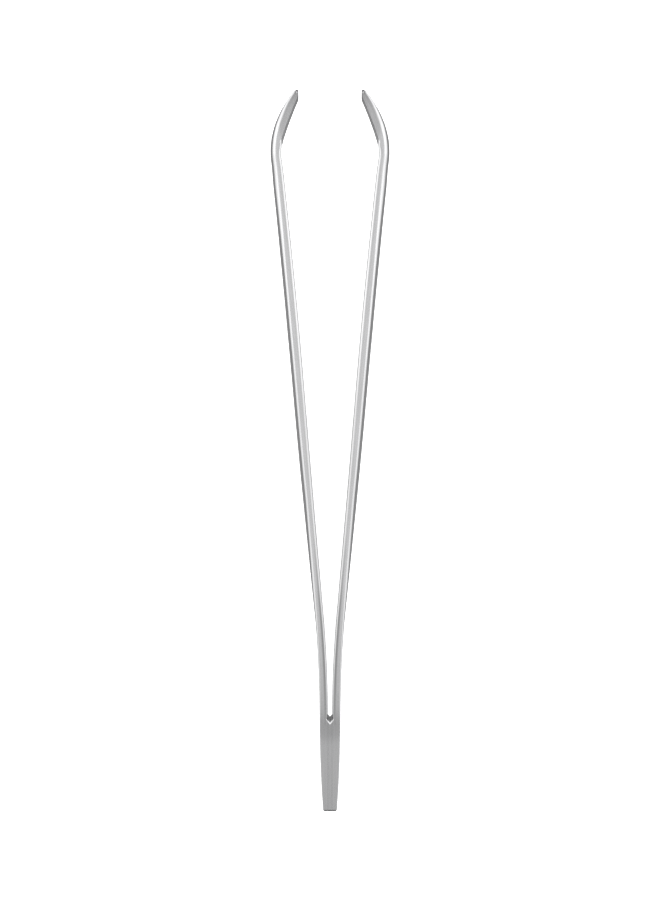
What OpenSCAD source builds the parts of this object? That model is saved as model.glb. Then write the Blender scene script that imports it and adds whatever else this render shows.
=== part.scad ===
// Stamp tongs: two sprung steel arms joined at the tail, with slanted tips
// that meet when the arms are squeezed. They lie on their side edges, so the
// arms open along X, run along Y and are as wide as their Z height.

/* [Overall] */
// Overall length from the tail end to the tips
length = 120; // [110:1:130]
// Width of the arms where the fingers hold them
blade_w = 9.5; // [8:0.1:11]
// Width of the tail
tail_w = 7; // [6:0.1:8]
// Width of the neck, where the arms bend towards the tips
neck_w = 4.6; // [4:0.1:5]
// Width of the tips, across their rounded noses
tip_w = 2.7; // [2.7:0.1:3.1]

/* [Arms] */
// Gap between the arms at the root, filled by the spacer in the tail
root_gap = 0.68; // [0.5:0.02:1]
// Thickness of the arms at the root and along their springs
root_t = 1.4; // [1.2:0.05:1.5]
// Greatest thickness of the arms, under the fingers
blade_t = 2.03; // [1.8:0.01:2.2]
// Outward lean of each arm past its spring, in degrees
arm_lean = 4.8; // [4:0.1:5.2]
// Depth of the outer edge rounding along the blades
outer_round = 0.75; // [0.4:0.05:0.85]
// Height of the soft bulge on the inner faces of the blades
inner_crown = 0.35; // [0.1:0.05:0.4]

/* [Tips] */
// Length of the flat grip face at each tip
grip_len = 1.44; // [1.2:0.02:1.5]
// Inward lean of the tip legs at their ends, in degrees
tip_lean = 25.4; // [22:0.2:26]

/* [Tail] */
// Length of the joined tail, up to the bottom of the notch
tail_run = 14.7; // [12:0.1:17]
// Thickness of each arm at the tail end
tail_end_t = 0.8; // [0.7:0.02:1]
// Corner radius of the tail end
tail_corner = 0.28; // [0.2:0.04:0.4]
// Half-width of the filed notch, which is wider than the gap
notch_half = 0.53; // [0.5:0.01:0.6]
// Depth of the seam weld that is ground flush round the tail
weld_depth = 0.6; // [0.4:0.1:0.8]

/* [Hidden] */
$fn = 48;
steel = "silver";
weld_steel = "lightgray";

mid_z = blade_w / 2;
half_gap = root_gap / 2;
stretch = length / 120;
gap_start = tail_run + 0.4;
notch_steep = 1.2;
notch_end = tail_run + 1.3;
spring_start = tail_run + 1.6;
spring_end = 38 * stretch;
parallel_end = 66 * stretch;
bend_start = 106 * stretch;
bend_end = 113.2 * stretch;
nose_start = 118.5 * stretch;
nose_end = length - 0.4;
inner_chamfer = 0.18;
side_grind = 0.01;
spacer_corner = 0.2;

// Slope of the inner faces away from the mid-plane, at distances from the tail
SLOPE = [
    [0, 0],
    [gap_start, 0],
    [33 * stretch, tan(arm_lean) + 0.002],
    [70 * stretch, tan(arm_lean) - 0.002],
    [bend_start, tan(arm_lean + 1.6)],
    [108.2 * stretch, tan(arm_lean + 5.3)],
    [112 * stretch, -0.3],
    [bend_end, -0.35],
    [length, -tan(tip_lean)]
];

// Thickness of each arm, at distances from the tail end
THICKNESS = [
    [0, tail_end_t],
    [4 * stretch, 0.76 * root_t],
    [9 * stretch, 0.91 * root_t],
    [gap_start, root_t],
    [31 * stretch, root_t],
    [46 * stretch, 0.82 * blade_t],
    [56 * stretch, 0.905 * blade_t],
    [64 * stretch, 0.945 * blade_t],
    [80 * stretch, blade_t],
    [92 * stretch, blade_t],
    [104 * stretch, 0.975 * blade_t],
    [110 * stretch, 0.865 * blade_t],
    [113.6 * stretch, 0.96 * blade_t],
    [115.6 * stretch, 0.9 * blade_t],
    [117.6 * stretch, 0.73 * blade_t],
    [119 * stretch, 0.62 * blade_t],
    [nose_end, 0.44 * blade_t]
];

function slope(y) = lookup(y, SLOPE);

// Soft step from 0 at a to 1 at b
function step_t(y, a, b) = max(0, min(1, (y - a) / (b - a)));
function soft_step(y, a, b) = let (t = step_t(y, a, b)) t * t * (3 - 2 * t);

// Distance of the inner face from the mid-plane: the slope summed from the tail
function slope_area(y, i) = let (
        y0 = SLOPE[i][0],
        y1 = min(y, SLOPE[i + 1][0])
    ) y1 > y0 ? (y1 - y0) * (slope(y0) + slope(y1)) / 2 : 0;
function inner_x(y, i = 0) =
    i == len(SLOPE) - 1 ? half_gap : slope_area(y, i) + inner_x(y, i + 1);

// Distance of the flat grip faces from the mid-plane
grip_x = inner_x(length - grip_len);

// How far a corner of radius r cuts in at distance y from the end
function corner_cut(y, r) = y < r ? r - sqrt(r * r - (r - y) * (r - y)) : 0;

function thickness(y) = lookup(y, THICKNESS) - corner_cut(y, tail_corner);

// Width of the arms: waisted from tail to blade, then tapered to a round nose
function body_width(y) =
    tail_w
    + (blade_w + 2 * side_grind - tail_w) * soft_step(y, spring_start, spring_end)
    - (blade_w - neck_w) * soft_step(y, parallel_end, 109 * stretch)
    - (neck_w - tip_w) * step_t(y, 109 * stretch, nose_start);
function nose_share(y) = let (t = 0.9 * step_t(y, nose_start, nose_end)) sqrt(1 - t * t);
function width(y) = body_width(y) * nose_share(y) - 2 * corner_cut(y, tail_corner);

// Outer rounding and inner crown, which both fade out towards the tail
function edge_round(y) = 0.2 + (outer_round - 0.2) * soft_step(y, tail_run, 45 * stretch);
function crown(y) =
    0.01 + inner_crown * soft_step(y, 20, 50) * (1 - soft_step(y, 104, 117) * 0.8);

// Half of a cross-section as [depth from the inner face, height], inside to out
CROWN_STEPS = 3;
ROUND_STEPS = 5;
function half_section(t, w, r, c) = let (
        flat_w = w / 2 - inner_chamfer,
        round_t = min(r, 0.45 * t),
        round_w = min(1.4 * r, 0.4 * w)
    ) concat(
        [for (i = [1:CROWN_STEPS]) let (u = i / CROWN_STEPS) [c * u * u, flat_w * u]],
        [[c + inner_chamfer, w / 2]],
        [for (i = [0:ROUND_STEPS]) let (a = 90 * i / ROUND_STEPS)
            [t - round_t + round_t * sin(a), w / 2 - round_w + round_w * cos(a)]]
    );
SECTION_POINTS = 2 * (CROWN_STEPS + ROUND_STEPS + 2) + 1;

// Whole cross-section, once round
function section(y) = let (
        half = half_section(thickness(y), width(y), edge_round(y), crown(y)),
        n = len(half)
    ) concat(
        [[0, 0]],
        half,
        [for (i = [n - 1:-1:0]) [half[i][0], -half[i][1]]]
    );

// The section square to the inner face at y, kept off the grip plane
function placed_section(y) = let (
        x = inner_x(y),
        a = atan(slope(y)),
        least = y > bend_end ? (grip_x - x) / cos(a) : 0
    ) [for (p = section(y)) let (t = max(p[0], least * (1 + p[0] / 1e3)))
        [x + t * cos(a), y - t * sin(a), mid_z + p[1]]];

// Skin of an arm through its cross-sections at the given distances
module arm_skin(stations) {
    n = SECTION_POINTS;
    last = (len(stations) - 1) * n;
    rings = [for (y = stations) each placed_section(y)];
    skin = [for (i = [0:len(stations) - 2], k = [0:n - 1]) let (
            a = i * n + k,
            b = i * n + (k + 1) % n
        ) each [[a, b + n, b], [a, a + n, b + n]]];
    ends = [[for (k = [0:n - 1]) k], [for (k = [n - 1:-1:0]) last + k]];
    translate([0, -length / 2, 0]) polyhedron(rings, concat(skin, ends));
}

// Steep notch filed across the end of the tail's middle layer and into both arms
module notch() {
    shoulder = notch_end + notch_half / notch_steep;
    side = tail_run + notch_half * notch_steep;
    translate([0, -length / 2, -1]) linear_extrude(blade_w + 2) polygon([
        [0, tail_run],
        [notch_half, side],
        [notch_half, notch_end],
        [0, shoulder],
        [-notch_half, notch_end],
        [-notch_half, side]
    ]);
}

module arm_tail() {
    difference() {
        arm_skin(concat(
            [for (a = [0:15:90]) tail_corner * (1 - cos(a))],
            [for (y = [2:2:tail_run - 1]) y],
            [spring_start]
        ));
        notch();
    }
}

// Grinds the side edges flat where an arm is at its widest
module ground_flat() {
    intersection() {
        children();
        translate([0, -length, 0]) cube([length / 4, 2 * length, blade_w]);
    }
}

module arm_spring() {
    run = spring_end - spring_start;
    ground_flat() arm_skin([for (i = [0:11]) spring_start + run * i / 11]);
}

module arm_blade() {
    stations = concat(
        [for (i = [0:17]) spring_end + (bend_start - spring_end) * i / 18],
        [for (i = [0:9]) bend_start + (bend_end - bend_start) * i / 10],
        [for (i = [0:5]) bend_end + (nose_start - bend_end) * i / 6],
        [for (a = [0:15:90]) nose_start + (nose_end - nose_start) * sin(a)]
    );
    ground_flat() arm_skin(stations);
}

// Outline of the tail's middle layer from its end, inset all round
module tail_outline(inset, r) {
    run = tail_run + notch_steep * half_gap;
    high = tail_w - 2 * inset;
    translate([inset + r, 0]) square([run - inset - r, high]);
    translate([inset, r]) square([2 * r, high - 2 * r]);
    for (z = [r, high - r]) translate([inset + r, z]) circle(r);
}

// A plate between the two arms, with its outline in the Y-Z plane
module tail_plate(thick, inset, r) {
    translate([-thick / 2, -length / 2, mid_z - tail_w / 2 + inset])
        rotate([90, 0, 90]) linear_extrude(thick) tail_outline(inset, r);
}

module tail_spacer() {
    color(steel) difference() {
        tail_plate(root_gap, weld_depth, spacer_corner);
        notch();
    }
}

module seam_weld() {
    color(weld_steel) difference() {
        tail_plate(root_gap, 0, tail_corner);
        tail_plate(2 * root_gap, weld_depth, spacer_corner);
        notch();
    }
}

module right_tail() {
    color(steel) arm_tail();
}

module right_spring() {
    color(steel) arm_spring();
}

module right_blade() {
    color(steel) arm_blade();
}

module left_tail() {
    color(steel) mirror([1, 0, 0]) arm_tail();
}

module left_spring() {
    color(steel) mirror([1, 0, 0]) arm_spring();
}

module left_blade() {
    color(steel) mirror([1, 0, 0]) arm_blade();
}

tail_spacer();
seam_weld();
left_tail();
left_spring();
left_blade();
right_tail();
right_spring();
right_blade();
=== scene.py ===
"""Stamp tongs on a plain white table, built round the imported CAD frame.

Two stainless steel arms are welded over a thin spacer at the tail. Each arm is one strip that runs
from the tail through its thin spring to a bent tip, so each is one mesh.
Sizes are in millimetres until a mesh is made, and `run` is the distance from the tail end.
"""

import logging
from collections.abc import Callable
from dataclasses import dataclass, field
from enum import Enum

import bpy
import numpy as np
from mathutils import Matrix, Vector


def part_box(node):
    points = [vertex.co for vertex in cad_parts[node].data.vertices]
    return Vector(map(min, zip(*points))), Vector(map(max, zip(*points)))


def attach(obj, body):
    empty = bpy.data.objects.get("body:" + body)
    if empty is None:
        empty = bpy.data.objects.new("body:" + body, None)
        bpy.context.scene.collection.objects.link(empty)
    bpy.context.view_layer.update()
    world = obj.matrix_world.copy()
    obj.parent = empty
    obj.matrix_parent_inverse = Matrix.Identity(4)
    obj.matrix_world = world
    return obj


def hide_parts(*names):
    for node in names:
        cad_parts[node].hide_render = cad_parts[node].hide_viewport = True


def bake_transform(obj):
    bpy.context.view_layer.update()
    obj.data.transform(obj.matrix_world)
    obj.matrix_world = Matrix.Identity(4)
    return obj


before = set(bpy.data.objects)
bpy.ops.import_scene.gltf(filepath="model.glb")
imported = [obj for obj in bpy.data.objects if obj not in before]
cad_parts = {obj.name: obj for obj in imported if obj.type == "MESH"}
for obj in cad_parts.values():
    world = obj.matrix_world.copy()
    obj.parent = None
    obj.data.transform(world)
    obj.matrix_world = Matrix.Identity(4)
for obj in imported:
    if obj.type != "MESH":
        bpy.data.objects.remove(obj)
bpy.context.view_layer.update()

MM = 0.001

logging.basicConfig(level=logging.INFO, format="%(message)s")
log = logging.getLogger("stamp_tongs")


class Side(Enum):
    """Which arm, as the sign of its X."""

    LEFT = -1
    RIGHT = 1

    @property
    def word(self) -> str:
        """The side's name as used in node names."""
        return self.name.lower()


def linear(hex_colour: str) -> tuple[float, float, float, float]:
    """Turns an sRGB hex colour into linear RGBA.

    Args:
        hex_colour: The colour, such as "C9C7C3".

    Returns:
        Red, green, blue and an alpha of 1.
    """
    parts = [int(hex_colour[i : i + 2], 16) / 255 for i in (0, 2, 4)]
    low = [c / 12.92 if c <= 0.04045 else ((c + 0.055) / 1.055) ** 2.4 for c in parts]
    return (low[0], low[1], low[2], 1.0)


def soft_step(value: np.ndarray, start: float, end: float) -> np.ndarray:
    """Rises smoothly from 0 at start to 1 at end.

    Args:
        value: Where to read the step.
        start: Where it leaves 0.
        end: Where it reaches 1.

    Returns:
        The step at each value.
    """
    t = np.clip((value - start) / (end - start), 0, 1)
    return t * t * (3 - 2 * t)


def add_node(
    tree: bpy.types.NodeTree, kind: str, links: dict | None = None, **settings: object
) -> bpy.types.Node:
    """Adds a node with its settings and the links and values of its inputs.

    Args:
        tree: The node tree to add to.
        kind: The node's type name.
        links: Input name or index to an output socket, or to a plain value.
        settings: Properties of the node itself.

    Returns:
        The new node.
    """
    node = tree.nodes.new(kind)
    for name, value in settings.items():
        setattr(node, name, value)
    for name, value in (links or {}).items():
        if isinstance(value, bpy.types.NodeSocket):
            tree.links.new(value, node.inputs[name])
        else:
            node.inputs[name].default_value = value
    return node


def set_ramp(node: bpy.types.Node, stops: tuple) -> bpy.types.NodeSocket:
    """Gives a colour ramp node grey stops, and eases between them.

    Args:
        node: A colour ramp node.
        stops: Place and brightness of each stop, in order.

    Returns:
        The ramp's colour output.
    """
    ramp = node.color_ramp
    ramp.interpolation = "EASE"
    while len(ramp.elements) < len(stops):
        ramp.elements.new(1.0)
    for element, (place, level) in zip(ramp.elements, stops):
        element.position = place
        element.color = (level, level, level, 1)
    return node.outputs["Color"]


@dataclass(frozen=True)
class GroundSteel:
    """Stainless steel, ground along its length and satin polished, with its round edges buffed brighter and
    shade painted into its colour where the mesh gives it.
    """

    name: str
    colour: str = "D0D0D1"
    # How dark the colour gets under the most painted shade
    shade_tone: float = 0.5
    flat_roughness: float = 0.27
    edge_roughness: float = 0.14
    line_width: float = 0.09
    line_length: float = 9.0
    line_height: float = 0.0007
    # Range of the noise that the grinding lines use, and how far they change the roughness and the tone
    line_band: tuple = (0.25, 0.75)
    line_polish: tuple = (0.85, 1.15)
    line_tone: tuple = (0.95, 1.03)
    # The same for the handling marks, which are a few millimetres across
    mark_size: float = 6.0
    mark_band: tuple = (0.3, 0.7)
    mark_polish: tuple = (0.88, 1.12)

    def material(self) -> bpy.types.Material:
        """Builds the steel from the mesh's own lay of the grinding lines.

        Returns:
            The material.
        """
        mat = bpy.data.materials.new(self.name)
        mat.use_nodes = True
        tree = mat.node_tree
        tree.nodes.clear()
        # The lay attribute holds millimetres along the strip and round its section
        lay = add_node(tree, "ShaderNodeAttribute", attribute_name="lay").outputs["Vector"]
        edge = add_node(tree, "ShaderNodeAttribute", attribute_name="edge").outputs["Fac"]
        # How much shade is painted at each point, from 0 for none to 1 for the most
        painted_shade = add_node(tree, "ShaderNodeAttribute", attribute_name="painted_shade").outputs["Fac"]
        # Grinding belt lines: long and thin, they break the reflections up along the strip
        belt = add_node(
            tree, "ShaderNodeMapping",
            {"Vector": lay, "Scale": (1 / self.line_length, 1 / self.line_width, 1)},
        )
        lines = add_node(
            tree, "ShaderNodeTexNoise",
            {"Vector": belt.outputs["Vector"], "Scale": 1.0, "Detail": 3.0, "Roughness": 0.6},
            noise_dimensions="2D",
        ).outputs["Fac"]
        # Handling marks: soft clouds that change the polish, not the shape
        clouds = add_node(
            tree, "ShaderNodeTexNoise",
            {"Vector": lay, "Scale": 1 / self.mark_size, "Detail": 4.0, "Roughness": 0.55},
            noise_dimensions="2D",
        ).outputs["Fac"]
        polish = add_node(
            tree, "ShaderNodeMapRange",
            {"Value": edge, "To Min": self.flat_roughness, "To Max": self.edge_roughness},
        ).outputs["Result"]
        cloudy, streaky, streak = (
            add_node(
                tree, "ShaderNodeMapRange",
                {"Value": noise, "From Min": band[0], "From Max": band[1], "To Min": to[0], "To Max": to[1]},
            ).outputs["Result"]
            for noise, band, to in (
                (clouds, self.mark_band, self.mark_polish),
                (lines, self.line_band, self.line_polish),
                (lines, self.line_band, self.line_tone),
            )
        )
        mottled = add_node(tree, "ShaderNodeMath", {0: cloudy, 1: streaky}, operation="MULTIPLY").outputs[0]
        rough = add_node(tree, "ShaderNodeMath", {0: polish, 1: mottled}, operation="MULTIPLY").outputs[0]
        # Painted shade: the colour is darkened where the mesh gives it, at the tail, the root, the tips and
        # beside the inner edge
        ground = add_node(
            tree, "ShaderNodeMapRange", {"Value": painted_shade, "To Min": 1.0, "To Max": self.shade_tone}
        ).outputs["Result"]
        tone = add_node(tree, "ShaderNodeMath", {0: streak, 1: ground}, operation="MULTIPLY").outputs[0]
        base = add_node(
            tree, "ShaderNodeVectorMath",
            {0: linear(self.colour)[:3], "Scale": tone}, operation="SCALE",
        ).outputs["Vector"]
        bump = add_node(
            tree, "ShaderNodeBump",
            {"Height": lines, "Distance": self.line_height * MM, "Strength": 1.0},
        ).outputs["Normal"]
        surface = add_node(
            tree, "ShaderNodeBsdfPrincipled",
            {"Base Color": base, "Metallic": 1.0, "Roughness": rough, "Normal": bump},
        )
        add_node(tree, "ShaderNodeOutputMaterial", {"Surface": surface.outputs["BSDF"]})
        return mat


@dataclass(frozen=True)
class MeshPart:
    """A mesh in the making: points in millimetres, faces, and what the finish reads."""

    points: np.ndarray
    faces: list[list[int]]
    flat_faces: list[list[int]]
    lay: np.ndarray
    edge: np.ndarray
    # Painted shade at each point
    painted_shade: np.ndarray

    def build(self, name: str, material: bpy.types.Material) -> bpy.types.Object:
        """Makes the object, with its finish and the attributes that it reads.

        Args:
            name: The piece's name.
            material: Its finish.

        Returns:
            The object, linked to the scene.
        """
        mesh = bpy.data.meshes.new(name)
        mesh.from_pydata((self.points * MM).tolist(), [], self.faces + self.flat_faces)
        smooth = [True] * len(self.faces) + [False] * len(self.flat_faces)
        mesh.polygons.foreach_set("use_smooth", smooth)
        lay = mesh.attributes.new("lay", "FLOAT_VECTOR", "POINT")
        lay.data.foreach_set("vector", self.lay.astype(np.float32).ravel())
        for word, values in (("edge", self.edge), ("painted_shade", self.painted_shade)):
            layer = mesh.attributes.new(word, "FLOAT", "POINT")
            layer.data.foreach_set("value", values.astype(np.float32))
        mesh.materials.append(material)
        mesh.update()
        obj = bpy.data.objects.new(name, mesh)
        bpy.context.scene.collection.objects.link(obj)
        return obj


@dataclass(frozen=True)
class ArmOutline:
    """Sizes of one arm in millimetres, as functions of the distance from the tail end."""

    length: float = 120.0
    half_gap: float = 0.34
    tail_run: float = 14.7
    notch_half: float = 0.53
    notch_steep: float = 1.2
    notch_end: float = 16.0
    shoulder_steep: float = 1.5
    spring_start: float = 16.3
    tail_w: float = 7.0
    blade_w: float = 9.5
    neck_w: float = 4.6
    tip_w: float = 2.7
    spring_end: float = 38.0
    taper_start: float = 66.0
    neck_run: float = 109.0
    nose_start: float = 118.8
    nose_end: float = 119.7
    nose_round: float = 0.97
    grip_x: float = 5.27
    tail_corner: float = 0.4
    # Lean of the inner face away from the mid-plane, as [run, slope]
    lean: tuple = (
        (0, 0), (15, 0), (33, 0.086), (70, 0.082), (106, 0.112), (108.2, 0.178),
        (112, -0.30), (113.2, -0.35), (120, -0.475),
    )
    # Thickness of the strip, as [run, thickness]
    thick: tuple = (
        (0, 0.80), (4, 1.07), (9, 1.28), (15, 1.40), (31, 1.40), (46, 1.67), (56, 1.84), (64, 1.92),
        (80, 2.03), (92, 2.03), (104, 1.98), (110, 1.76), (113.6, 1.95), (115.6, 1.83), (117.6, 1.48),
        (119, 1.24), (119.7, 0.72),
    )
    # How far the corners of each table are spread
    lean_reach: float = 1.2
    thick_reach: float = 1.0
    ease_samples: int = 15
    sum_samples: int = 2401

    def eased(self, knots: tuple, run: np.ndarray, reach: float) -> np.ndarray:
        """Reads a table of knots with its corners rounded off.

        Args:
            knots: Pairs of run and value.
            run: Where to read it.
            reach: How far each corner is spread, in millimetres.

        Returns:
            The value at each run.
        """
        spread = np.linspace(-reach, reach, self.ease_samples)
        weight = np.cos(spread / reach * np.pi / 2)
        at, level = np.array(knots, float).T
        read = [w * np.interp(run + s, at, level) for w, s in zip(weight, spread)]
        return np.sum(read, axis=0) / weight.sum()

    def slope(self, run: np.ndarray) -> np.ndarray:
        """Lean of the inner face at each run."""
        return self.eased(self.lean, run, self.lean_reach)

    def inner_x(self, run: np.ndarray) -> np.ndarray:
        """Sums the slope of the inner face up from the tail.

        Args:
            run: Distances from the tail end.

        Returns:
            Distance of the inner face from the mid-plane at each run.
        """
        fine = np.linspace(0, self.length, self.sum_samples)
        lean = self.slope(fine)
        summed = np.concatenate([[0], np.cumsum((lean[1:] + lean[:-1]) / 2 * np.diff(fine))])
        return self.half_gap + np.interp(run, fine, summed)

    def thickness(self, run: np.ndarray) -> np.ndarray:
        """Thickness of the arm at each run, rounded at the tail's end edge."""
        return self.eased(self.thick, run, self.thick_reach) - self.corner_cut(run, self.tail_corner)

    @staticmethod
    def corner_cut(run: np.ndarray, radius: float) -> np.ndarray:
        """How far a round corner of the tail end cuts in at each run."""
        rest = np.clip(radius - run, 0, radius)
        return radius - np.sqrt(radius**2 - rest**2)

    def notch_cut(self, run: np.ndarray) -> np.ndarray:
        """Works out the filed notch at the root, which opens from its V and closes at its shoulders.

        Args:
            run: Distances from the tail end.

        Returns:
            How deep the notch cuts into the inner face at each run.
        """
        opening = (run - self.tail_run) / self.notch_steep
        closing = self.notch_half - self.shoulder_steep * (run - self.notch_end)
        return np.minimum(self.notch_half, np.minimum(opening, closing)) - self.half_gap

    def width(self, run: np.ndarray) -> np.ndarray:
        """Works out the width of the strip: wider from tail to blade, then tapered to a round nose.

        Args:
            run: Distances from the tail end.

        Returns:
            The width at each run.
        """
        wide = self.tail_w + (self.blade_w - self.tail_w) * soft_step(run, self.spring_start, self.spring_end)
        wide = wide - (self.blade_w - self.neck_w) * soft_step(run, self.taper_start, self.neck_run)
        tip = np.clip((run - self.neck_run) / (self.nose_start - self.neck_run), 0, 1)
        wide = wide - (self.neck_w - self.tip_w) * tip
        nose = np.clip((run - self.nose_start) / (self.nose_end - self.nose_start), 0, 1)
        return wide * np.sqrt(1 - (self.nose_round * nose) ** 2) - 2 * self.corner_cut(run, self.tail_corner)


@dataclass(frozen=True)
class ArmSection:
    """How an arm's edges are rounded, and where shade is painted on it: tables of run and value in
    millimetres, along the arm.
    """

    # How far each rounding reaches over the narrow edge of the strip, and how far down its broad face
    outer_width: tuple = (
        (0, 0.12), (13, 0.2), (17, 0.34), (27, 0.36), (32, 0.45), (38, 0.64), (45, 0.76), (52, 0.88),
        (88, 0.9), (102, 1.15), (114, 1.2), (116, 1.0), (119, 0.85), (120, 0.6),
    )
    outer_drop: tuple = (
        (0, 0.08), (13, 0.08), (17, 0.1), (27, 0.13), (32, 0.24), (38, 0.44), (45, 0.78), (52, 1.05),
        (88, 1.0), (102, 0.8), (111, 0.75), (114, 0.55), (116, 0.36), (117, 0.24), (120, 0.18),
    )
    inner_width: tuple = (
        (0, 0.012), (14.83, 0.012), (15.08, 0.23), (15.3, 0.23), (20, 0.3), (31, 0.5), (45, 0.72),
        (108.5, 0.72), (110.6, 0.4), (111.6, 0.13), (120, 0.13),
    )
    inner_drop: tuple = (
        (0, 0.012), (14.85, 0.012), (15.05, 0.1), (16, 0.08), (20, 0.09), (31, 0.15), (45, 0.22),
        (108.5, 0.22), (110.6, 0.07), (111.6, 0.17), (120, 0.17),
    )
    # How far the edges of the inner face lie behind its middle
    crown: tuple = ((0, 0.01), (25, 0.02), (50, 0.05), (100, 0.05), (112, 0.0), (120, 0.0))
    # How straight the inner edge is: 0 for a rounding, 1 for a plain chamfer
    inner_plain: tuple = ((110.8, 0.0), (111.6, 1.0))
    # Painted shade all round the section: at the tail, the root and the tips, where it starts at the inner
    # face
    shade_all: tuple = (
        (0, 0.55), (11, 0.5), (13, 0.78), (14.8, 0.78), (17, 0.5), (20, 0.3), (27, 0.08), (34, 0), (110.9, 0),
        (111.9, 0.35), (116, 0.45), (118, 0.7), (120, 0.9),
    )
    # Near the tips, how much further along the same painted shade comes for each millimetre of depth
    shade_lag: float = 1.5
    # Painted shade on the inner edge's rounding, and none on the filed bevel at the notch, which stays bright
    edge_shade: tuple = (
        (14.78, 0.0), (14.85, -1.0), (15.24, -1.0), (15.36, 0.0), (40, 0.0), (60, 0.16), (110.8, 0.16),
        (111.6, 0.0),
    )
    # A line of painted shade beside the inner edge, from the root outwards
    shade_line: tuple = ((13, 0.0), (14.5, 1.0), (32, 1.0), (38, 0.7), (46, 0.2), (60, 0.0))
    shade_line_depth: float = 0.44
    shade_line_reach: float = 0.2
    # How sharply the painted shade ends at the narrow edges, and how much of it the broad faces keep
    narrow_power: float = 6.0
    broad_share: float = 0.25
    # The most of the thickness and of the width that a rounding takes
    outer_share: float = 0.6
    inner_share: float = 0.36
    outer_reach: float = 0.42
    inner_reach: float = 0.4
    crown_steps: int = 8
    inner_steps: int = 12
    outer_steps: int = 20
    face_steps: int = 6
    # Points across the flat of the narrow edge, as shares of it
    flat_places: tuple = (0.0, 0.03, 0.12, 0.25, 0.4, 0.6, 0.8, 0.97)

    @staticmethod
    def at(table: tuple, run: float) -> float:
        """Reads a table of run and value."""
        return float(np.interp(run, *np.array(table, float).T))

    def painted_shade_at(self, depth: np.ndarray, height: np.ndarray, inner: np.ndarray, run: float) -> np.ndarray:
        """How much shade is painted round a section: mostly on its narrow edges, not on its broad faces.

        Args:
            depth: Depth of each point behind the inner face.
            height: Height of each point off mid-width.
            inner: How far each point is part of the inner edge's rounding.
            run: Where along the arm.

        Returns:
            0 for no painted shade to 1 for the most.
        """
        # The line of painted shade beside the inner edge
        line = np.exp(-(((depth - self.shade_line_depth) / self.shade_line_reach) ** 2))
        lag = self.shade_lag if run > self.inner_plain[0][0] else 0.0
        general = np.interp(run - lag * np.maximum(depth, 0), *np.array(self.shade_all, float).T)
        narrow = (np.abs(height) / np.abs(height).max()) ** self.narrow_power
        share = self.broad_share + (1 - self.broad_share) * narrow
        shade = np.maximum(general, self.at(self.shade_line, run) * line) * share
        return np.clip(shade + self.at(self.edge_shade, run) * inner, 0, 1)

    def half_ring(self, thick: float, wide: float, run: float, cut: float) -> np.ndarray:
        """One half of the section, from the middle of the inner face round to the outer one.

        Args:
            thick: The arm's thickness here.
            wide: Its width here.
            run: Where along the arm.
            cut: Depth to which the inner face is cut away here.

        Returns:
            Rows of depth from the inner face, height from mid-width, and how far it is rounded at all and
            at the inner edge.
        """
        outer_w, outer_d, inner_w, inner_d, bulge, plain = (
            self.at(table, run)
            for table in (
                self.outer_width, self.outer_drop, self.inner_width, self.inner_drop, self.crown,
                self.inner_plain,
            )
        )
        base = max(bulge, cut)
        room = thick - base
        outer_w = min(outer_w, self.outer_share * room)
        inner_w = min(inner_w, self.inner_share * room)
        outer_d = min(outer_d, self.outer_reach * wide)
        inner_d = min(inner_d, self.inner_reach * wide)
        rows = []
        for u in np.linspace(0, 1, self.crown_steps, endpoint=False):
            rows.append((max(bulge * u * u, cut), (wide / 2 - inner_d) * u, 0.0, 0.0))
        for a in np.linspace(0, np.pi / 2, self.inner_steps, endpoint=False):
            straight = 2 * a / np.pi
            across = plain * straight + (1 - plain) * (1 - np.cos(a))
            up = plain * straight + (1 - plain) * np.sin(a)
            bent = np.sin(2 * a)
            rows.append((base + inner_w * across, wide / 2 - inner_d * (1 - up), bent, bent))
        near, far = base + inner_w, thick - outer_w
        for share in self.flat_places:
            rows.append((near + (far - near) * share, wide / 2, 0.0, 0.0))
        for a in np.linspace(0, np.pi / 2, self.outer_steps, endpoint=False):
            rows.append((far + outer_w * np.sin(a), wide / 2 - outer_d * (1 - np.cos(a)), np.sin(2 * a), 0.0))
        for share in np.linspace(0, 1, self.face_steps):
            rows.append((thick, (wide / 2 - outer_d) * (1 - share), 0.0, 0.0))
        return np.array(rows)


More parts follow.
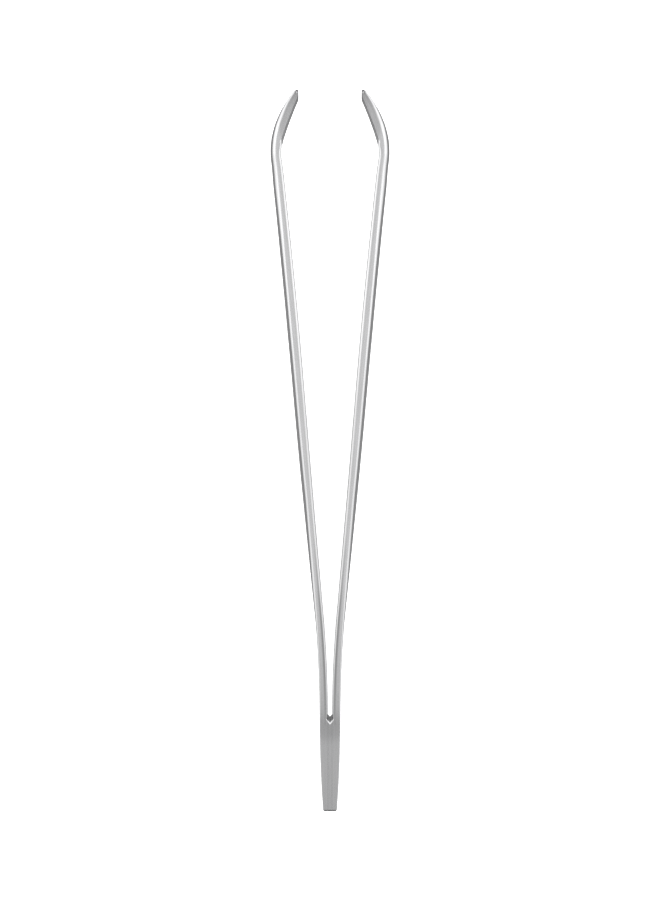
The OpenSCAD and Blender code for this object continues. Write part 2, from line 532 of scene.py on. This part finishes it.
@dataclass
class Arm:
    """One arm: a single strip from the tail through its spring to the bent tip."""

    side: Side
    finish: bpy.types.Material
    outline: ArmOutline = field(default_factory=ArmOutline)
    section: ArmSection = field(default_factory=ArmSection)
    # Start, end and step of the cross-sections along the arm
    spacing: tuple = ((1.5, 14, 0.75), (14.2, 16.2, 0.07), (16.4, 105, 0.8), (105, 118.8, 0.25))
    end_steps: int = 12
    least_step: float = 0.004

    def stations(self) -> np.ndarray:
        """Places the arm's cross-sections, closer together where it curves.

        Returns:
            Their distances from the tail end.
        """
        shape = self.outline
        quarter = np.linspace(0, np.pi / 2, self.end_steps)
        ends = np.concatenate([
            shape.tail_corner * (1 - np.cos(quarter)),
            shape.nose_start + (shape.nose_end - shape.nose_start) * np.sin(quarter),
        ])
        body = np.concatenate([np.arange(*stretch) for stretch in self.spacing])
        every = np.unique(np.round(np.concatenate([ends, body]), 4))
        return every[np.concatenate([[True], np.diff(every) > self.least_step])]

    def mesh_part(self) -> MeshPart:
        """Sweeps the section along the arm.

        Returns:
            The arm's mesh, in the row frame.
        """
        shape = self.outline
        runs = self.stations()
        inner, lean = shape.inner_x(runs), shape.slope(runs)
        thick, wide = shape.thickness(runs), shape.width(runs)
        low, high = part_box("left_blade")
        mid_z = (low.z + high.z) / 2 / MM
        tail_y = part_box("left_tail")[0].y / MM
        points, lays, edges, shades = [], [], [], []
        for i, run in enumerate(runs):
            angle = np.arctan(lean[i])
            grip = (shape.grip_x - inner[i]) / np.cos(angle) if run > shape.neck_run else -1.0
            half = self.section.half_ring(thick[i], wide[i], run, max(grip, shape.notch_cut(run)))
            ring = np.vstack([half, half[-2:0:-1] * (1, -1, 1, 1)])
            depth = ring[:, 0]
            x = inner[i] + depth * np.cos(angle)
            y = tail_y + run - depth * np.sin(angle)
            points.append(np.column_stack([x * self.side.value, y, mid_z + ring[:, 1]]))
            walk = np.hypot(np.diff(ring[:, 0]), np.diff(ring[:, 1]))
            girth = np.concatenate([[0], np.cumsum(walk)])
            lays.append(np.column_stack([np.full(len(ring), run), girth, np.zeros(len(ring))]))
            edges.append(ring[:, 2])
            # How much shade is painted at each point of the section
            shades.append(self.section.painted_shade_at(ring[:, 0], ring[:, 1], ring[:, 3], run))
        n, count = len(points[0]), len(runs)
        faces = []
        for i in range(count - 1):
            for k in range(n):
                a, b = i * n + k, i * n + (k + 1) % n
                faces.append([a, b, b + n, a + n])
        caps = [list(range(n))[::-1], list(range((count - 1) * n, count * n))]
        if self.side is Side.RIGHT:
            faces = [f[::-1] for f in faces]
            caps = [f[::-1] for f in caps]
        return MeshPart(
            np.vstack(points), faces, caps, np.vstack(lays), np.concatenate(edges), np.concatenate(shades)
        )

    def build(self) -> bpy.types.Object:
        """Makes the arm, standing for its three CAD nodes, which it hides.

        Returns:
            The arm's object.
        """
        word = self.side.word
        arm = self.mesh_part().build(f"{word}_arm_strip", self.finish)
        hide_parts(f"{word}_tail", f"{word}_spring", f"{word}_blade")
        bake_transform(arm)
        return arm


@dataclass
class TailCore:
    """The middle layer of the tail: the spacer strip and the weld that is ground flush round it."""

    finish: bpy.types.Material
    weld_finish: bpy.types.Material
    outline: ArmOutline = field(default_factory=ArmOutline)
    section: ArmSection = field(default_factory=ArmSection)
    weld_depth: float = 0.6
    # Length and depth of the bevel along the notch, and of the plain corner of the spacer
    notch_chamfer: float = 0.27
    notch_drop: float = 0.09
    spacer_chamfer: float = 0.01
    # How far behind the bevel the painted shade starts, how far it stays level, and where it changes
    tone_start: float = 0.03
    tone_level: float = 1.0
    tone_runs: tuple = (13.0, 11.0)
    least_corner: float = 0.1
    corner_steps: int = 9
    layers: int = 9

    def side_path(self, inset: float, front: float, chamfer: bool) -> np.ndarray:
        """Half of the outline in the Y-Z plane, from the front's middle round to the tail end's middle.

        Args:
            inset: How far it lies inside the tail's own outline.
            front: Run of its front edge.
            chamfer: Whether the front corner is bevelled.

        Returns:
            Rows of run and height above mid-width.
        """
        shape = self.outline
        high = shape.tail_w / 2 - inset
        radius = max(shape.tail_corner - inset, self.least_corner)
        rows = [(front, 0.0)]
        if chamfer:
            rows += [(front, high - self.notch_drop), (front - self.notch_chamfer, high)]
            rows += [(front - self.notch_chamfer - self.tone_start, high)]
        else:
            rows += [(front, high - self.spacer_chamfer), (front - self.spacer_chamfer, high)]
        rows += [(front - self.tone_level, high)]
        rows += [(run, high) for run in self.tone_runs]
        for a in np.linspace(0, np.pi / 2, self.corner_steps):
            rows.append((inset + radius - radius * np.sin(a), high - radius + radius * np.cos(a)))
        rows.append((inset, 0.0))
        return np.array(rows)

    def plate(
        self, name: str, loop_of: Callable[[float], np.ndarray], finish: bpy.types.Material
    ) -> bpy.types.Object:
        """Makes a plate between the arms whose front end is the bottom of the V notch.

        Args:
            name: The piece's name.
            loop_of: Gives the closed outline, as rows of run and height, for a distance off the mid-plane.
            finish: Its material.

        Returns:
            The plate's object.
        """
        low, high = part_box("left_blade")
        mid_z = (low.z + high.z) / 2 / MM
        tail_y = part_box("left_tail")[0].y / MM
        across = np.linspace(-self.outline.half_gap, self.outline.half_gap, self.layers)
        points, lays, shades = [], [], []
        for x in across:
            loop = loop_of(abs(x))
            # The filed bevel of the notch gets no painted shade, and the rest gets the same painted shade as
            # the arms
            bevel = self.outline.tail_run + self.outline.notch_steep * abs(x) - self.notch_chamfer
            ground = [self.section.at(self.section.shade_all, run) for run in loop[:, 0]]
            shades.append(np.where(loop[:, 0] > bevel - self.tone_start / 2, 0.0, ground))
            points.append(np.column_stack([np.full(len(loop), x), tail_y + loop[:, 0], mid_z + loop[:, 1]]))
            lays.append(np.column_stack([loop[:, 0], np.full(len(loop), x), np.zeros(len(loop))]))
        n = len(points[0])
        faces = []
        for i in range(self.layers - 1):
            for k in range(n):
                a, b = i * n + k, i * n + (k + 1) % n
                faces.append([a, b, b + n, a + n])
        last = (self.layers - 1) * n
        faces += [list(range(n))[::-1], list(range(last, last + n))]
        many = len(across) * n
        part = MeshPart(np.vstack(points), [], faces, np.vstack(lays), np.zeros(many), np.concatenate(shades))
        return part.build(name, finish)

    def build(self) -> list[bpy.types.Object]:
        """Makes the spacer and the weld, which ride on the tail.

        Returns:
            The two objects.
        """
        notch, steep = self.outline.tail_run, self.outline.notch_steep

        def spacer_loop(off: float) -> np.ndarray:
            """The spacer's outline at a distance off the mid-plane."""
            half = self.side_path(self.weld_depth, notch + steep * off, chamfer=False)
            return np.vstack([half, half[-2:0:-1] * (1, -1)])

        def weld_loop(off: float) -> np.ndarray:
            """Draws the weld's outline: round the tail's edge and back round the spacer.

            Args:
                off: Distance off the mid-plane.

            Returns:
                Rows of run and height above mid-width.
            """
            outer = self.side_path(0.0, notch + steep * off, chamfer=True)[1:]
            inner = self.side_path(self.weld_depth, notch + steep * off, chamfer=False)[2:]
            inner[0, 0] = notch + steep * off
            outside = np.vstack([outer, outer[-2::-1] * (1, -1)])
            inside = np.vstack([inner, inner[-2::-1] * (1, -1)])
            return np.vstack([outside, inside[::-1]])

        spacer = self.plate("tail_spacer_strip", spacer_loop, self.finish)
        weld = self.plate("seam_weld_bead", weld_loop, self.weld_finish)
        for obj, node, slot in ((spacer, "tail_spacer", "arm_steel"), (weld, "seam_weld", "weld_steel")):
            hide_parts(node)
            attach(obj, "tail")
        return [spacer, weld]


@dataclass
class Studio:
    """A white table, a soft surround of light, and the camera straight above."""

    floor_size: float = 6.0
    camera_height: float = 0.293
    view_height: float = 0.14885
    plane_height: float = 0.008
    sensor: float = 36.0
    box_strength: float = 1.6
    window_strength: float = 0.5
    table_glow: float = 1.1
    wall_glow: float = 0.93
    card_end: float = 111.6
    card_glow: float = 1.3
    card_height: float = 0.05
    card_steps: int = 24
    wall_foot: float = -0.01
    wall_sides: int = 48
    aim_x: float = 0.0
    aim_y: float = -0.0002
    clip_near: float = 0.01
    clip_far: float = 20.0
    # Light by direction: 0 is overhead, 0.5 at the horizon and 1 straight down
    panel_drop: tuple = ((0.0, 0.57), (0.06, 0.57), (0.12, 0.0))
    boxes_drop: tuple = ((0.065, 0.0), (0.13, 1.0), (0.18, 1.0), (0.3, 0.72), (0.41, 0.0))
    room_drop: tuple = ((0.0, 0.28), (0.5, 0.34), (0.62, 0.42), (0.8, 0.38), (1.0, 0.25))
    # Light along the tongs: 0 is beyond the tail and 1 beyond the tips
    panel_along: tuple = ((0.15, 0.0), (0.34, 0.95), (0.5, 1.0), (0.67, 1.0), (0.85, 0.0))
    boxes_along: tuple = ((0.15, 0.2), (0.36, 0.65), (0.52, 0.74), (0.64, 0.95), (0.7, 1.0), (0.9, 1.0))
    # Low windows beyond the tail and the tips, which only oblique views see in the broad faces
    window_along: tuple = (
        (0.03, 0.0), (0.13, 1.0), (0.22, 1.0), (0.34, 0.0),
        (0.82, 0.0), (0.88, 1.0), (0.94, 1.0), (0.98, 0.0),
    )
    # Their light by height: 0 is straight down and 1 overhead
    window_up: tuple = ((0.36, 0.0), (0.5, 1.0), (0.68, 1.0), (0.84, 0.0))

    @staticmethod
    def stage_piece(name: str, points: list, faces: list, card: str, glow: float) -> bpy.types.Object:
        """Makes a piece of the studio from a glowing card.

        Args:
            name: The piece's name.
            points: Its corners, in metres.
            faces: Its faces.
            card: The card's colour, as sRGB hex.
            glow: How strongly it glows.

        Returns:
            The object, marked as stage.
        """
        mat = bpy.data.materials.new(f"white_card_{name}")
        mat.use_nodes = True
        tree = mat.node_tree
        tree.nodes.clear()
        paper = add_node(tree, "ShaderNodeBsdfDiffuse", {"Color": linear(card)})
        light = add_node(tree, "ShaderNodeEmission", {"Color": linear("FFFFFF"), "Strength": glow})
        both = add_node(tree, "ShaderNodeAddShader", {0: paper.outputs[0], 1: light.outputs[0]})
        add_node(tree, "ShaderNodeOutputMaterial", {"Surface": both.outputs[0]})
        mesh = bpy.data.meshes.new(name)
        mesh.from_pydata(points, [], faces)
        mesh.materials.append(mat)
        piece = bpy.data.objects.new(name, mesh)
        bpy.context.scene.collection.objects.link(piece)
        piece.visible_shadow = piece.visible_transmission = False
        return piece

    def table_top(self) -> None:
        """Makes the white table, bright enough to stay white under the tongs."""
        half = self.floor_size / 2
        corners = [(-half, -half, 0), (half, -half, 0), (half, half, 0), (-half, half, 0)]
        top = self.stage_piece("table_top", corners, [[0, 1, 2, 3]], "F4F4F4", self.table_glow)
        # The steel mirrors the surround instead, whose lower half is the dim room below a light table
        top.visible_glossy = False

    def backdrop(self) -> None:
        """Stands a pale wall round the table, for the camera only, behind the tongs in low views."""
        turns = np.linspace(0, 2 * np.pi, self.wall_sides, endpoint=False)
        ring = np.column_stack([np.cos(turns), np.sin(turns)]) * self.floor_size / 2
        points = [(x, y, z) for z in (self.wall_foot, self.floor_size / 2) for x, y in ring]
        n = self.wall_sides
        faces = [[i, (i + 1) % n, n + (i + 1) % n, n + i] for i in range(n)]
        wall = self.stage_piece("backdrop", points, faces, "000000", self.wall_glow)
        wall.visible_glossy = wall.visible_diffuse = False

    def gap_card(self) -> None:
        """Lays a white card between the arms, for their inner faces to mirror instead of the dim room."""
        shape = ArmOutline()
        runs = np.linspace(shape.spring_start, self.card_end, self.card_steps)
        half = shape.inner_x(runs)
        tail_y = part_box("left_tail")[0].y / MM
        height = np.full(len(runs), self.card_height)
        left, right = (np.column_stack([side * half, tail_y + runs, height]) for side in (-1, 1))
        n = self.card_steps
        faces = [[i, n + i, n + i + 1, i + 1] for i in range(n - 1)]
        points = (np.vstack([left, right]) * MM).tolist()
        card = self.stage_piece("gap_card", points, faces, "000000", self.card_glow)
        card.visible_camera = card.visible_diffuse = False

    def surround(self) -> None:
        """Lights the scene by direction: a grey overhead panel, bright side boxes and a dim horizon."""
        world = bpy.data.worlds.new("soft_studio")
        bpy.context.scene.world = world
        world.use_nodes = True
        tree = world.node_tree
        tree.nodes.clear()
        way = add_node(tree, "ShaderNodeTexCoord").outputs["Generated"]
        parts = add_node(tree, "ShaderNodeSeparateXYZ", {"Vector": way})
        across = add_node(tree, "ShaderNodeMath", {0: parts.outputs["X"]}, operation="ABSOLUTE").outputs[0]
        turn = add_node(
            tree, "ShaderNodeMath", {0: across, 1: parts.outputs["Z"]}, operation="ARCTAN2"
        ).outputs[0]
        drop = add_node(tree, "ShaderNodeMath", {0: turn, 1: 1 / np.pi}, operation="MULTIPLY").outputs[0]
        along = add_node(
            tree, "ShaderNodeMapRange", {"Value": parts.outputs["Y"], "From Min": -1.0, "From Max": 1.0}
        ).outputs["Result"]
        height = add_node(
            tree, "ShaderNodeMapRange", {"Value": parts.outputs["Z"], "From Min": -1.0, "From Max": 1.0}
        ).outputs["Result"]
        panel, boxes, room, panel_along, boxes_along, window_along, window_up = (
            set_ramp(add_node(tree, "ShaderNodeValToRGB", {"Fac": direction}), stops)
            for direction, stops in (
                (drop, self.panel_drop), (drop, self.boxes_drop), (drop, self.room_drop),
                (along, self.panel_along), (along, self.boxes_along), (along, self.window_along),
                (height, self.window_up),
            )
        )
        overhead, sides, windows = (
            add_node(tree, "ShaderNodeMath", {0: one, 1: other}, operation="MULTIPLY").outputs[0]
            for one, other in ((panel, panel_along), (boxes, boxes_along), (window_up, window_along))
        )
        lit = overhead
        for light, strength in ((sides, self.box_strength), (windows, self.window_strength)):
            lit = add_node(
                tree, "ShaderNodeMath", {0: light, 1: strength, 2: lit}, operation="MULTIPLY_ADD"
            ).outputs[0]
        total = add_node(tree, "ShaderNodeMath", {0: lit, 1: room}, operation="ADD").outputs[0]
        glow = add_node(tree, "ShaderNodeBackground", {"Color": (1, 1, 1, 1), "Strength": total})
        add_node(tree, "ShaderNodeOutputWorld", {"Surface": glow.outputs[0]})

    def camera(self) -> bpy.types.Object:
        """Makes the camera, straight above the tongs with their tips at the top of the picture.

        Returns:
            The camera.
        """
        data = bpy.data.cameras.new("overhead_camera")
        data.sensor_width = self.sensor
        data.lens = self.sensor * (self.camera_height - self.plane_height) / self.view_height
        data.clip_start, data.clip_end = self.clip_near, self.clip_far
        cam = bpy.data.objects.new("overhead_camera", data)
        cam.location = (self.aim_x, self.aim_y, self.camera_height)
        bpy.context.scene.collection.objects.link(cam)
        bpy.context.scene.camera = cam
        return cam

    def build(self) -> None:
        """Sets up the table, the light, the camera and a plain colour transform."""
        self.camera()
        self.table_top()
        self.backdrop()
        self.gap_card()
        self.surround()
        bpy.context.scene.view_settings.view_transform = "Standard"


def main() -> None:
    """Builds the tongs piece by piece, then the studio round them."""
    Studio().build()
    # To the eye: silver grey with long fine lines, with shade painted darker at the tail, the root and the
    # tips, and bright at the buffed edges
    arm_steel = GroundSteel("ground_stainless_steel").material()
    # To the eye: the same silver grey a touch darker, with the shorter lines of a weld ground by hand
    weld_steel = GroundSteel("ground_weld_steel", colour="CECECF", line_length=4.0).material()
    for side in Side:
        arm = Arm(side, arm_steel).build()
        log.info("%s: %d faces", arm.name, len(arm.data.polygons))
    for piece in TailCore(arm_steel, weld_steel).build():
        log.info("%s: %d faces", piece.name, len(piece.data.polygons))


if __name__ == "__main__":
    main()
